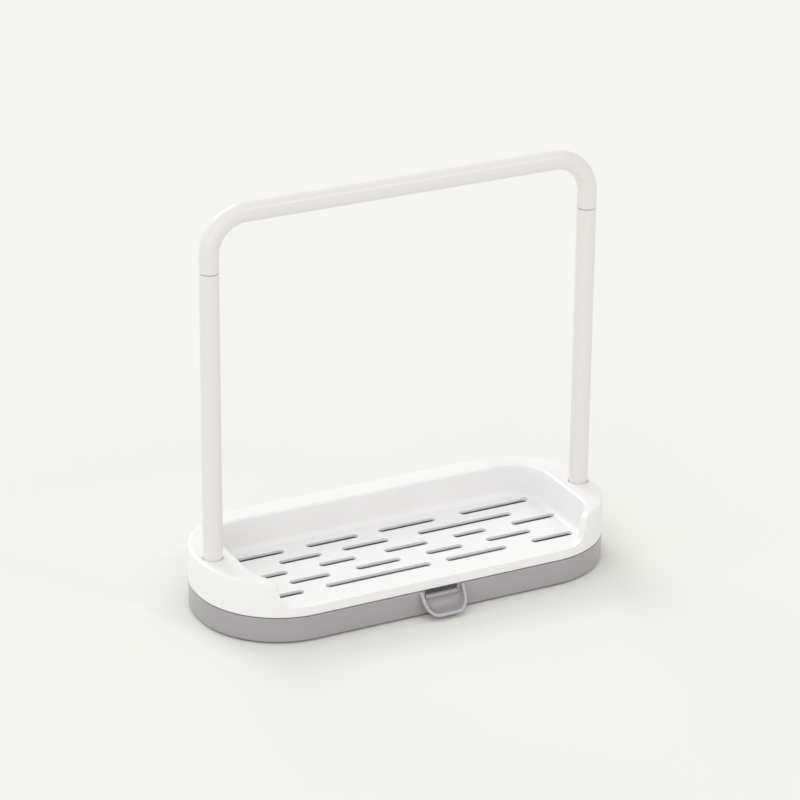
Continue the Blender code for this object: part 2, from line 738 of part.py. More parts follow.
def bent_tube(name, radius, overrun):
    """A solid round bar along the rail's centre line, as a closed mesh."""
    curve = bpy.data.curves.new(name, "CURVE")
    curve.dimensions = "3D"
    curve.bevel_depth = radius
    curve.bevel_resolution = TUBE_BEVEL_RESOLUTION
    curve.use_fill_caps = True
    path = rail_path(overrun)
    spline = curve.splines.new("POLY")
    spline.points.add(len(path) - 1)
    for point, (x, z) in zip(spline.points, path):
        point.co = (x, POST_Y, z, 1)
    bar = bpy.data.objects.new(name, curve)
    bpy.context.scene.collection.objects.link(bar)
    depsgraph = bpy.context.evaluated_depsgraph_get()
    mesh = bpy.data.meshes.new_from_object(bar.evaluated_get(depsgraph))
    bpy.data.objects.remove(bar, do_unlink=True)
    bm = bmesh.new()
    bm.from_mesh(mesh)
    bmesh.ops.remove_doubles(bm, verts=bm.verts, dist=MERGE_DISTANCE)
    bmesh.ops.recalc_face_normals(bm, faces=bm.faces)
    bm.to_mesh(mesh)
    bm.free()
    mesh.name = name
    mesh.shade_smooth()
    mesh.set_sharp_from_angle(angle=math.radians(35))
    return mesh


top_rail = place("top_rail", bent_tube("top_rail", TUBE_RADIUS, 0), WHITE_COATING, LIFT_AXIS)
rail_bore = bent_tube("rail_bore", TUBE_BORE_RADIUS, CUT_OVERRUN)
boolean(top_rail, place("rail_bore", rail_bore, parent=LIFT_AXIS))


# Joiners: spigots pressed into the posts, which the rail pushes onto

def joiner_profile():
    """Half of a spigot, from its top centre to its lower centre."""
    radius = TUBE_BORE_RADIUS - SEAT_GAP
    top = RAIL_BOTTOM + JOINER_IN_RAIL
    bottom = POST_TOP - JOINER_IN_POST
    return [
        (0, top),
        (radius - JOINER_CHAMFER, top),
        (radius, top - JOINER_CHAMFER),
        (radius, bottom + JOINER_CHAMFER),
        (radius - JOINER_CHAMFER, bottom),
        (0, bottom),
    ]


for side, post_x, post_y in post_places():
    turned(f"{side}_rail_joiner", joiner_profile(), INNER_PLASTIC, post_x, post_y, LIFT_AXIS)


# Post fixings: a threaded plug in each post, with a screw and a washer from under the shelf

def plug_profile():
    """A plug's wall, chamfered at its upper end, around the screw's hole."""
    radius = TUBE_BORE_RADIUS - SEAT_GAP
    top = POST_BOTTOM + PLUG_LENGTH
    return [
        (radius - PLUG_CHAMFER, top),
        (radius, top - PLUG_CHAMFER),
        (radius, POST_BOTTOM),
        (SCREW_HOLE_RADIUS, POST_BOTTOM),
        (SCREW_HOLE_RADIUS, top),
    ]


def screw_profile():
    """Half of a pan-head screw that points up, from its tip to the middle of its head."""
    shank = SCREW_DIAMETER / 2
    head = SCREW_HEAD_DIAMETER / 2
    bottom = SCREW_HEAD_TOP - SCREW_HEAD_HEIGHT
    tip = SCREW_HEAD_TOP + SCREW_LENGTH
    edge = [(head - inset, bottom + rise) for inset, rise in edge_steps(SCREW_HEAD_EDGE_RADIUS)]
    upper = [(0, tip), (shank, tip), (shank, SCREW_HEAD_TOP), (head, SCREW_HEAD_TOP)]
    return upper + edge[::-1] + [(0, bottom)]


def washer_profile():
    """A washer's section."""
    inner = SCREW_HOLE_RADIUS
    outer = WASHER_DIAMETER / 2
    bottom = WASHER_TOP - WASHER_THICKNESS
    return [(outer, WASHER_TOP), (outer, bottom), (inner, bottom), (inner, WASHER_TOP)]


for side, post_x, post_y in post_places():
    turned(f"{side}_post_plug", plug_profile(), INNER_PLASTIC, post_x, post_y, LIFT_AXIS, closed=True)
    turned(f"{side}_post_screw", screw_profile(), STEEL, post_x, post_y, LIFT_AXIS)
    turned(f"{side}_post_washer", washer_profile(), STEEL, post_x, post_y, LIFT_AXIS, closed=True)
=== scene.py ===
"""Towel rack with a drain shelf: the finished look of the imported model.

A grey drip tray on four rubber feet carries a white moulded shelf with a slotted floor. Two
white-coated posts stand in the shelf, and a bent rail of the same tube joins them at the top.
Lengths are in metres. +Z is up, +X is along the rack and -Y is its front.
"""
import math

import bmesh
import bpy
from mathutils import Matrix, Vector


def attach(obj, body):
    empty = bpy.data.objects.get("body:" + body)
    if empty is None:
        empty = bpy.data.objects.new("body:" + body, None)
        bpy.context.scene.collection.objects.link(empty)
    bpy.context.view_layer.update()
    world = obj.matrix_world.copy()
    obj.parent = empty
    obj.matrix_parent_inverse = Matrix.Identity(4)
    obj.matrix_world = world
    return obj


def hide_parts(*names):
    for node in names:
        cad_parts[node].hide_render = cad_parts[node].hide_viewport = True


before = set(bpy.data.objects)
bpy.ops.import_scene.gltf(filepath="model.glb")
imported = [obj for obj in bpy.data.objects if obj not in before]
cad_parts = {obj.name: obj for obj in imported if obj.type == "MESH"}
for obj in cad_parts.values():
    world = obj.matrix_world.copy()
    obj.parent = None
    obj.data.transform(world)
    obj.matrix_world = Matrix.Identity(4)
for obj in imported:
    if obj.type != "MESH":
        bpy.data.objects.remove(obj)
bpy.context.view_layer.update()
mm = 0.001


# Drip tray. One grey polypropylene moulding with a spark-eroded satin skin: a shallow pan with
# round ends, and a spout on its front that pours off what runs over the low stretch of its wall.

footprint_length = 250.0 * mm
footprint_depth = 102.0 * mm
footprint_corner = 49.0 * mm
footprint_middle_y = 5.0 * mm
footprint_front = -footprint_depth / 2
corner_steps = 36
edge_steps = 6
round_steps = 48
least_corner = 0.3 * mm
weld_distance = 0.005 * mm
smooth_angle = 34
carved_edge_angle = 40
fit_gap = 0.3 * mm
past = 1.0 * mm
tray_bottom = 1.0 * mm
tray_top = 15.5 * mm
tray_wall = 2.0 * mm
tray_floor = 2.2 * mm
tray_lower_edge = 1.0 * mm
tray_rim_edge = 0.45 * mm
tray_rim_land = 0.6 * mm
tray_rim_lead_in = 0.9 * mm
tray_inner_fillet = 3.0 * mm
spout_middle_x = 1.5 * mm
spout_width = 28.6 * mm
spout_side_draft = 0.5 * mm
spout_reach = 10.0 * mm
spout_wall = 1.9 * mm
spout_floor = 1.6 * mm
spout_corner = 8.5 * mm
spout_rise = 1.5 * mm
spout_rim_edge = 0.6 * mm
spout_rim_steps = 4
scoop_set_back = 1.0 * mm
scoop_reach = 6.0 * mm
scoop_height = 5.6 * mm
weir_width = 20.4 * mm
weir_depth = 3.1 * mm
weir_corner = 1.2 * mm
weir_bead = 1.4 * mm
foot_width = 12.0 * mm
foot_seat_depth = 0.7 * mm
foot_end_inset = 45.0 * mm
foot_side_inset = 20.0 * mm


def arc(centre, radius, start, end, steps):
    """Points along an arc, from one angle in degrees to another."""
    angles = [math.radians(start + (end - start) * i / steps) for i in range(steps + 1)]
    return [(centre[0] + radius * math.cos(a), centre[1] + radius * math.sin(a)) for a in angles]


def rounded_edge(radius):
    """Inset and drop of each step of a rounded edge, from the flat face to the side."""
    for i in range(edge_steps + 1):
        angle = math.radians(90 * i / edge_steps)
        yield radius * (1 - math.sin(angle)), radius * (1 - math.cos(angle))


def rounded_outline(half_length, front, back, radius, z):
    """A rectangle with round corners at one level, anticlockwise from above."""
    radius = max(min(radius, half_length, (back - front) / 2), least_corner)
    x = half_length - radius
    corners = (
        ((x, back - radius), 0),
        ((-x, back - radius), 90),
        ((-x, front + radius), 180),
        ((x, front + radius), 270),
    )
    points = []
    for centre, start in corners:
        points += arc(centre, radius, start, start + 90, corner_steps)
    return [(px, py, z) for px, py in points]


def footprint(inset, z):
    """The rack's round-ended footprint, drawn in by an inset, at one level."""
    return rounded_outline(
        footprint_length / 2 - inset,
        footprint_front + inset,
        footprint_depth / 2 - inset,
        footprint_corner - inset,
        z,
    )


def lofted(name, rings):
    """A closed mesh through a stack of outlines with the same number of points."""
    bm = bmesh.new()
    levels = [[bm.verts.new(point) for point in ring] for ring in rings]
    for lower, upper in zip(levels, levels[1:]):
        for i in range(len(lower)):
            bm.faces.new((lower[i - 1], lower[i], upper[i], upper[i - 1]))
    bm.faces.new(list(reversed(levels[0])))
    bm.faces.new(levels[-1])
    bmesh.ops.remove_doubles(bm, verts=bm.verts, dist=weld_distance)
    bmesh.ops.recalc_face_normals(bm, faces=bm.faces)
    mesh = bpy.data.meshes.new(name)
    bm.to_mesh(mesh)
    bm.free()
    return mesh


def pushed(name, outline, start, end):
    """An outline in X and Z, pushed along Y into a closed mesh."""
    return lofted(name, [[(x, y, z) for x, z in outline] for y in (start, end)])


def upright(name, radius, bottom, top, x, y):
    """A round bar that stands on its end."""
    circle = arc((0, 0), radius, 0, 360 - 360 / round_steps, round_steps - 1)
    return lofted(name, [[(x + px, y + py, z) for px, py in circle] for z in (bottom, top)])


def workpiece(mesh):
    """An object to carve: baked() makes a plain mesh of it."""
    piece = bpy.data.objects.new(mesh.name, mesh)
    bpy.context.scene.collection.objects.link(piece)
    return piece


def cut(piece, tool_mesh, operation="DIFFERENCE"):
    """Cuts a shape out of a workpiece, or joins it on."""
    tool = workpiece(tool_mesh)
    tool.hide_render = True
    step = piece.modifiers.new(tool_mesh.name, "BOOLEAN")
    step.object = tool
    step.operation = operation
    step.solver = "EXACT"


def round_edges(piece, name, width, steps, angle):
    """Rounds the edges of a workpiece that turn by more than an angle in degrees."""
    rounding = piece.modifiers.new(name, "BEVEL")
    rounding.width = width
    rounding.segments = steps
    rounding.limit_method = "ANGLE"
    rounding.angle_limit = math.radians(angle)


def baked(piece):
    """The plain mesh of a carved workpiece, which is cleared away with its tools."""
    depsgraph = bpy.context.evaluated_depsgraph_get()
    mesh = bpy.data.meshes.new_from_object(piece.evaluated_get(depsgraph), depsgraph=depsgraph)
    tools = [step.object for step in piece.modifiers if step.type == "BOOLEAN"]
    for spent in tools + [piece]:
        bpy.data.objects.remove(spent, do_unlink=True)
    return mesh


def softened(mesh, angle=smooth_angle):
    """Smooth shading that keeps large faces flat beside their rounded edges."""
    mesh.shade_smooth()
    mesh.set_sharp_from_angle(angle=math.radians(angle))
    piece = workpiece(mesh)
    weighted = piece.modifiers.new("flat_faces", "WEIGHTED_NORMAL")
    weighted.keep_sharp = True
    return baked(piece)


def finished(name, mesh, finish, slot, body, *nodes):
    """Puts a piece in the scene at its place, in its finish, riding on its body."""
    mesh.name = name
    mesh.materials.clear()
    mesh.materials.append(finish)
    piece = bpy.data.objects.new(name, mesh)
    bpy.context.scene.collection.objects.link(piece)
    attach(piece, body)
    if nodes:
        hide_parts(*nodes)
    return piece


def moulded_skin_group():
    """The skin of a moulding: a fine eroded grain, and a slow cloudiness of gloss and colour."""
    tree = bpy.data.node_groups.new("moulded_skin", "ShaderNodeTree")
    face = tree.interface
    for name, value in (
        ("Grain Per Metre", 2600.0),
        ("Grain Depth", 0.5),
        ("Cloud Per Metre", 22.0),
        ("Gloss", 0.4),
        ("Gloss Spread", 0.05),
        ("Colour Spread", 0.02),
    ):
        face.new_socket(name, in_out="INPUT", socket_type="NodeSocketFloat").default_value = value
    base = face.new_socket("Colour", in_out="INPUT", socket_type="NodeSocketColor")
    base.default_value = (0.8, 0.8, 0.8, 1)
    face.new_socket("Colour", in_out="OUTPUT", socket_type="NodeSocketColor")
    face.new_socket("Roughness", in_out="OUTPUT", socket_type="NodeSocketFloat")
    face.new_socket("Height", in_out="OUTPUT", socket_type="NodeSocketFloat")
    nodes, links = tree.nodes, tree.links
    given = nodes.new("NodeGroupInput")
    out = nodes.new("NodeGroupOutput")
    where = nodes.new("ShaderNodeTexCoord")
    grain = nodes.new("ShaderNodeTexNoise")
    grain.inputs["Detail"].default_value = 3.0
    grain.inputs["Roughness"].default_value = 0.65
    cloud = nodes.new("ShaderNodeTexNoise")
    cloud.inputs["Detail"].default_value = 2.0
    links.new(where.outputs["Object"], grain.inputs["Vector"])
    links.new(where.outputs["Object"], cloud.inputs["Vector"])
    links.new(given.outputs["Grain Per Metre"], grain.inputs["Scale"])
    links.new(given.outputs["Cloud Per Metre"], cloud.inputs["Scale"])

    def maths(operation, first, second):
        node = nodes.new("ShaderNodeMath")
        node.operation = operation
        for socket, value in zip(node.inputs, (first, second)):
            if isinstance(value, float):
                socket.default_value = value
            else:
                links.new(value, socket)
        return node.outputs[0]

    noise_middle = 0.5
    centred_cloud = maths("SUBTRACT", cloud.outputs["Fac"], noise_middle)
    centred_grain = maths("SUBTRACT", grain.outputs["Fac"], noise_middle)
    both = maths("ADD", centred_cloud, centred_grain)
    gloss_change = maths("MULTIPLY", both, given.outputs["Gloss Spread"])
    gloss = maths("ADD", given.outputs["Gloss"], gloss_change)
    shade_change = maths("MULTIPLY", both, given.outputs["Colour Spread"])
    shade = maths("ADD", 1.0, shade_change)
    tint = nodes.new("ShaderNodeVectorMath")
    tint.operation = "SCALE"
    links.new(given.outputs["Colour"], tint.inputs[0])
    links.new(shade, tint.inputs["Scale"])
    links.new(tint.outputs[0], out.inputs["Colour"])
    links.new(gloss, out.inputs["Roughness"])
    links.new(maths("MULTIPLY", centred_grain, given.outputs["Grain Depth"]), out.inputs["Height"])
    return tree


moulded_skin = moulded_skin_group()


def skinned_finish(name, colour, relief, settings, fixed=()):
    """A finish whose colour, gloss and relief come from the moulded skin."""
    finish = bpy.data.materials.new(name)
    finish.use_nodes = True
    finish.diffuse_color = (*colour, 1)
    nodes, links = finish.node_tree.nodes, finish.node_tree.links
    shader = nodes["Principled BSDF"]
    skin = nodes.new("ShaderNodeGroup")
    skin.node_tree = moulded_skin
    skin.inputs["Colour"].default_value = (*colour, 1)
    for socket, value in settings.items():
        skin.inputs[socket].default_value = value
    for socket, value in fixed:
        shader.inputs[socket].default_value = value
    bump = nodes.new("ShaderNodeBump")
    bump.inputs["Distance"].default_value = relief
    links.new(skin.outputs["Colour"], shader.inputs["Base Color"])
    links.new(skin.outputs["Roughness"], shader.inputs["Roughness"])
    links.new(skin.outputs["Height"], bump.inputs["Height"])
    links.new(bump.outputs["Normal"], shader.inputs["Normal"])
    return finish


grey_polypropylene = skinned_finish(
    "grey_polypropylene",
    colour=(0.390, 0.367, 0.382),
    relief=0.05 * mm,
    settings={
        "Grain Per Metre": 2400.0,
        "Grain Depth": 0.8,
        "Gloss": 0.22,
        "Gloss Spread": 0.06,
    },
    fixed=(("IOR", 1.49), ("Specular IOR Level", 0.5)),
)


def spout_outline(half_width, bottom, radius, top):
    """The spout's U, with drafted sides and round lower corners."""
    lower_half = half_width - spout_side_draft
    radius = min(radius, tray_top - bottom)
    right = arc((lower_half - radius, bottom + radius), radius, -90, 0, edge_steps * 4)
    left = [(-x, z) for x, z in reversed(right)]
    flare = spout_side_draft * (top - bottom) / (tray_top - bottom)
    outline = [(lower_half + flare, top), (-lower_half - flare, top)] + left + right
    return [(x + spout_middle_x, z) for x, z in outline]


def spout_body():
    """The spout's outer shape, cut off along the slope of its rim and rounded over there."""
    bottom = tray_bottom + spout_rise
    outline = spout_outline(spout_width / 2, bottom, spout_corner, tray_top)
    start = footprint_front - spout_reach - past
    mesh = pushed("spout_body", outline, start, footprint_front + tray_wall / 2)
    bm = bmesh.new()
    bm.from_mesh(mesh)
    sliced = bmesh.ops.bisect_plane(
        bm,
        geom=bm.verts[:] + bm.edges[:] + bm.faces[:],
        plane_co=(0, footprint_front, tray_top),
        plane_no=(0, bottom - tray_top, spout_reach),
        clear_outer=True,
    )
    open_edges = [part for part in sliced["geom_cut"] if isinstance(part, bmesh.types.BMEdge)]
    bmesh.ops.contextual_create(bm, geom=open_edges)
    bmesh.ops.recalc_face_normals(bm, faces=bm.faces)
    bm.to_mesh(mesh)
    bm.free()
    body = workpiece(mesh)
    round_edges(body, "rim_edge", spout_rim_edge, spout_rim_steps, carved_edge_angle)
    return baked(body)


def spout_channel():
    """The hollow of the spout, which scoops down from inside the tray's wall to a level floor."""
    floor = tray_bottom + spout_rise + spout_floor
    steps = edge_steps * 3
    stations = []
    for i in range(steps + 1):
        angle = math.radians(90 * i / steps)
        y = footprint_front + scoop_set_back - scoop_reach * (1 - math.cos(angle))
        stations.append((y, floor + scoop_height * (1 - math.sin(angle))))
    stations.append((footprint_front - spout_reach - past, floor))
    half = spout_width / 2 - spout_wall
    radius = spout_corner - spout_wall
    rings = []
    for y, bottom in stations:
        outline = spout_outline(half, bottom, radius, tray_top + past)
        rings.append([(x, y, z) for x, z in outline])
    return lofted("spout_channel", rings)


def weir_notch():
    """The low stretch of the tray's wall, which water runs over into the spout."""
    half = weir_width / 2
    bottom = tray_top - weir_depth
    top = tray_top + past
    right = arc((half - weir_corner, bottom + weir_corner), weir_corner, -90, 0, edge_steps * 3)
    left = [(-x, z) for x, z in reversed(right)]
    outline = [(x + spout_middle_x, z) for x, z in [(half, top), (-half, top)] + left + right]
    end = footprint_front + tray_wall + past
    return pushed("weir_notch", outline, footprint_front - past, end)


def weir_bead_bar():
    """A round bead along the top of the weir, which overhangs the scoop in front of it."""
    mesh = upright("weir_bead", weir_bead, -weir_width / 2, weir_width / 2, 0, 0)
    mesh.transform(Matrix.Rotation(math.radians(90), 4, "Y"))
    mesh.transform(
        Matrix.Translation(
            (spout_middle_x, footprint_front + scoop_set_back, tray_top - weir_depth - weir_bead)
        )
    )
    return mesh


foot_places = [
    (sign * (footprint_length / 2 - foot_end_inset), row * (footprint_depth / 2 - foot_side_inset))
    for row in (-1, 1)
    for sign in (-1, 1)
]

lower_rings = [
    footprint(inset, tray_bottom + rise) for inset, rise in rounded_edge(tray_lower_edge)
]
rim_rings = [footprint(inset, tray_top - drop) for inset, drop in rounded_edge(tray_rim_edge)]
pan = workpiece(lofted("pan", lower_rings + rim_rings[::-1]))
cut(pan, spout_body(), "UNION")
cavity_rings = [
    footprint(tray_wall + inset, tray_bottom + tray_floor + rise)
    for inset, rise in rounded_edge(tray_inner_fillet)
]
cavity_rings += [
    footprint(tray_wall, tray_top - tray_rim_lead_in),
    footprint(tray_rim_land, tray_top),
    footprint(tray_rim_land, tray_top + past),
]
cut(pan, lofted("cavity", cavity_rings))
cut(pan, spout_channel())
cut(pan, weir_bead_bar(), "UNION")
cut(pan, weir_notch())
seat_radius = foot_width / 2 + fit_gap
seat_top = tray_bottom + foot_seat_depth
for foot_x, foot_y in foot_places:
    cut(pan, upright("seat", seat_radius, tray_bottom - past, seat_top, foot_x, foot_y))
tray_mesh = softened(baked(pan))
tray_mesh.transform(Matrix.Translation((0, footprint_middle_y, 0)))
finished("drip_tray_moulding", tray_mesh, grey_polypropylene, "tray_plastic", "tray", "drip_tray")


# Rubber feet. Four soft discs pressed into shallow seats under the tray, with a slightly
# rounded tread and the dull, finely mottled skin of moulded rubber.

foot_tread_edge = 0.6 * mm
foot_rubber = skinned_finish(
    "foot_rubber",
    colour=(0.30, 0.30, 0.30),
    relief=0.04 * mm,
    settings={
        "Grain Per Metre": 3800.0,
        "Grain Depth": 1.0,
        "Gloss": 0.78,
        "Gloss Spread": 0.12,
        "Colour Spread": 0.10,
    },
)


def turned(name, profile, steps=round_steps, first_angle=0.0):
    """A closed solid turned about the upright axis from a profile of radius and height."""
    turns = [first_angle + math.tau * i / steps for i in range(steps)]
    rings = [[(r * math.cos(a), r * math.sin(a), z) for a in turns] for r, z in profile]
    return lofted(name, rings)


def set_at_places_tree():
    """Geometry nodes that set a copy of one part at each of several places."""
    tree = bpy.data.node_groups.new("set_at_places", "GeometryNodeTree")
    tree.is_modifier = True
    face = tree.interface
    face.new_socket("Places", in_out="INPUT", socket_type="NodeSocketGeometry")
    face.new_socket("Part", in_out="INPUT", socket_type="NodeSocketObject")
    face.new_socket("Size", in_out="INPUT", socket_type="NodeSocketFloat").default_value = 1.0
    face.new_socket("Turn Per Place", in_out="INPUT", socket_type="NodeSocketFloat")
    face.new_socket("Finish", in_out="INPUT", socket_type="NodeSocketMaterial")
    face.new_socket("Parts", in_out="OUTPUT", socket_type="NodeSocketGeometry")
    nodes, links = tree.nodes, tree.links
    given = nodes.new("NodeGroupInput")
    part = nodes.new("GeometryNodeObjectInfo")
    number = nodes.new("GeometryNodeInputIndex")
    turn = nodes.new("ShaderNodeMath")
    turn.operation = "MULTIPLY"
    about_z = nodes.new("ShaderNodeCombineXYZ")
    copies = nodes.new("GeometryNodeInstanceOnPoints")
    real = nodes.new("GeometryNodeRealizeInstances")
    coat = nodes.new("GeometryNodeSetMaterial")
    out = nodes.new("NodeGroupOutput")
    links.new(given.outputs["Part"], part.inputs["Object"])
    links.new(number.outputs[0], turn.inputs[0])
    links.new(given.outputs["Turn Per Place"], turn.inputs[1])
    links.new(turn.outputs[0], about_z.inputs["Z"])
    links.new(given.outputs["Places"], copies.inputs["Points"])
    links.new(part.outputs["Geometry"], copies.inputs["Instance"])
    links.new(about_z.outputs[0], copies.inputs["Rotation"])
    links.new(given.outputs["Size"], copies.inputs["Scale"])
    links.new(copies.outputs[0], real.inputs[0])
    links.new(real.outputs[0], coat.inputs["Geometry"])
    links.new(given.outputs["Finish"], coat.inputs["Material"])
    links.new(coat.outputs[0], out.inputs[0])
    return tree


set_at_places = set_at_places_tree()


def with_nodes(piece, tree, **values):
    """Puts a geometry node tree on a workpiece, with its inputs set by their names."""
    step = piece.modifiers.new(tree.name, "NODES")
    step.node_group = tree
    for socket in tree.interface.items_tree:
        key = socket.name.lower().replace(" ", "_")
        if socket.in_out == "INPUT" and key in values:
            step[socket.identifier] = values[key]


def copies_at(name, part_mesh, places, finish, turn_per_place=0.0):
    """One mesh with a copy of a part at each place."""
    part = workpiece(part_mesh)
    spots = bpy.data.meshes.new(name)
    spots.from_pydata(places, [], [])
    row = workpiece(spots)
    with_nodes(row, set_at_places, part=part, finish=finish, turn_per_place=turn_per_place)
    mesh = baked(row)
    bpy.data.objects.remove(part, do_unlink=True)
    return mesh


tread = [(foot_width / 2 - inset, rise) for inset, rise in rounded_edge(foot_tread_edge)]
foot_top = seat_top - fit_gap
foot_mesh = turned("foot", [(foot_width / 4, 0)] + tread + [(foot_width / 2, foot_top)])
foot_spots = [(x, y + footprint_middle_y, 0) for x, y in foot_places]
feet_mesh = softened(copies_at("rubber_feet", foot_mesh, foot_spots, foot_rubber))
finished(
    "rubber_feet",
    feet_mesh,
    foot_rubber,
    "foot_rubber",
    "tray",
    *[f"{row}_{side}_foot" for row in ("front", "rear") for side in ("left", "right")],
)


# Drain shelf. One white ABS moulding that sits on the tray's rim: round-ended platforms carry
# the posts, and between them lies a basin with a slotted floor, open at its front over a low lip.

shelf_seat = 15.8 * mm
shelf_top = 37.8 * mm
shelf_wall = 2.4 * mm
shelf_top_thickness = 2.0 * mm
shelf_edge = 1.8 * mm
shadow_gap_depth = 2.4 * mm
shadow_gap_height = 0.45 * mm
rib_height = 3.3 * mm
rib_inset = 2.5 * mm
rib_inner_inset = 4.1 * mm
rib_root = 3.2 * mm
basin_half_length = 104.4 * mm
basin_back = 36.3 * mm
basin_front = -47.0 * mm
basin_corner = 22.9 * mm
basin_edge = 1.5 * mm
basin_fillet = 4.0 * mm
basin_draft = 1.5 * mm
basin_wall = 2.0 * mm
basin_floor_top = 18.5 * mm
basin_floor_underside = 16.9 * mm
lip_height = 3.2 * mm
lip_top = 21.7 * mm
lip_ramp = 9.5 * mm
lip_edge = 1.2 * mm
lip_edge_steps = 5
window_shift = 1.2 * mm
window_half = 93.8 * mm
window_side_slope = 1.3 * mm
window_lower_fillet = 4.5 * mm
window_upper_round = 5.5 * mm
window_flare = 1.6 * mm
window_shoulder_flare = 2.2 * mm
window_fillet_flare = 2.6 * mm
window_flare_depth = 2.3 * mm
window_flare_start = 6.1 * mm
slot_width = 4.8 * mm
slot_edge = 0.15 * mm
slot_draft = 0.35 * mm
slot_round_steps = 32
slot_row_pitch = 12.7 * mm
slot_rows_forward = 1.2 * mm
slot_half_row = basin_half_length - basin_draft
slot_rows = (
    ((-0.915, -0.588), (-0.450, -0.131), (-0.005, 0.351), (0.510, 0.944)),
    ((-0.674, -0.418), (-0.289, -0.003), (0.181, 0.772)),
    ((-0.918, -0.682), (-0.490, -0.267), (-0.089, 0.178), (0.338, 0.543), (0.708, 0.979)),
    ((-0.728, -0.483), (-0.326, -0.053), (0.104, 0.331), (0.482, 0.762)),
    ((-0.918, -0.702), (-0.569, 0.070), (0.165, 0.541), (0.699, 0.957)),
)
post_x = 116.0 * mm
post_y = -2.0 * mm
post_radius = 5.5 * mm
socket_radius = post_radius + fit_gap
socket_floor = 22.8 * mm
socket_web_underside = 20.4 * mm
socket_boss_wall = 3.4 * mm
socket_edge = 0.3 * mm
screw_hole = 2.3 * mm

white_abs = skinned_finish(
    "white_abs",
    colour=(0.874, 0.866, 0.868),
    relief=0.02 * mm,
    settings={
        "Grain Per Metre": 1900.0,
        "Grain Depth": 0.5,
        "Gloss": 0.40,
        "Gloss Spread": 0.06,
        "Colour Spread": 0.015,
    },
    fixed=(
        ("IOR", 1.52),
        ("Specular IOR Level", 0.5),
        ("Subsurface Weight", 0.25),
        ("Subsurface Radius", (1.0, 1.0, 1.0)),
        ("Subsurface Scale", 0.8 * mm),
    ),
)


def window_outline(flare, shoulder_flare, fillet_flare, y):
    """The front opening at one place in its wall: leaning sides, a fillet below, a round above."""
    half = window_half + flare
    shoulder_x = window_half + window_side_slope + shoulder_flare
    radius = window_lower_fillet + fillet_flare
    foot = arc((half - radius, lip_top + radius), radius, -90, 0, edge_steps * 3)
    radius = window_upper_round
    shoulder = arc((shoulder_x + radius, shelf_top - radius), radius, 180, 90, edge_steps * 2)
    right = foot + shoulder
    right.append((right[-1][0], shelf_top + past))
    left = [(-x, z) for x, z in reversed(right)]
    return [(x - window_shift, y, z) for x, z in right + left]


def window():
    """The front opening, which flares towards the outside."""
    inner_y = footprint_front + window_flare_start
    full_flares = (window_flare, window_shoulder_flare, window_fillet_flare)
    rings = []
    for y in (footprint_front - past, inner_y, basin_front + lip_ramp):
        steepness = max(inner_y - y, 0) / window_flare_depth
        rings.append(window_outline(*[steepness * flare for flare in full_flares], y))
    return lofted("window", rings)


def basin_outline(inset, front, z):
    """The basin's outline, drawn in by an inset at its sides and back, at one level."""
    half = basin_half_length - inset
    return rounded_outline(half, front, basin_back - inset, basin_corner - inset, z)


def basin_hollow():
    """The basin: a ramp up to the lip, a fillet, drafted walls and a rounded upper edge."""
    rings = []
    for inset, rise in rounded_edge(basin_fillet):
        climb = math.sqrt(min(rise / lip_height, 1.0))
        front = basin_front + lip_ramp * (1 - climb)
        rings.append(basin_outline(basin_draft + inset, front, basin_floor_top + rise))
    for drop, flare in rounded_edge(basin_edge):
        rings.append(basin_outline(-flare, basin_front, shelf_top - drop))
    rings.append(basin_outline(-basin_edge, basin_front, shelf_top + past))
    return lofted("basin_hollow", rings)


def underside_hollow():
    """The space inside the skirt, and above it behind the walls of the platforms and the back."""
    band_top = basin_floor_underside + rib_root
    hollow = workpiece(
        lofted(
            "underside_hollow",
            [
                footprint(rib_inner_inset, shelf_seat - rib_height - past),
                footprint(rib_inner_inset, band_top),
                footprint(shelf_wall, band_top + rib_inner_inset - shelf_wall),
                footprint(shelf_wall, shelf_top - shelf_top_thickness),
            ],
        )
    )
    front = footprint_front - past
    cut(
        hollow,
        lofted(
            "basin_shell",
            [
                basin_outline(basin_draft - basin_wall, front, basin_floor_underside),
                basin_outline(-basin_wall, front, shelf_top),
            ],
        ),
    )
    end = footprint_length / 2
    block = [
        (end, basin_floor_underside),
        (end, shelf_top),
        (-end, shelf_top),
        (-end, basin_floor_underside),
    ]
    cut(hollow, pushed("solid_front", block, front, basin_front + lip_ramp))
    radius = socket_radius + socket_boss_wall
    for x in (-post_x, post_x):
        cut(hollow, upright("boss", radius, socket_web_underside, shelf_top, x, post_y))
    return baked(hollow)


def rib_break():
    """A gap in the locating rib behind the spout, so that water reaches the weir."""
    half = weir_width / 2 + weir_corner
    bottom = shelf_seat - rib_height - past
    top = basin_floor_underside
    right = [(half, bottom), (half, top)]
    left = [(-half, top), (-half, bottom)]
    outline = [(x + spout_middle_x, z) for x, z in right + left]
    end = footprint_front + rib_inner_inset + past
    return pushed("rib_break", outline, footprint_front + tray_wall, end)


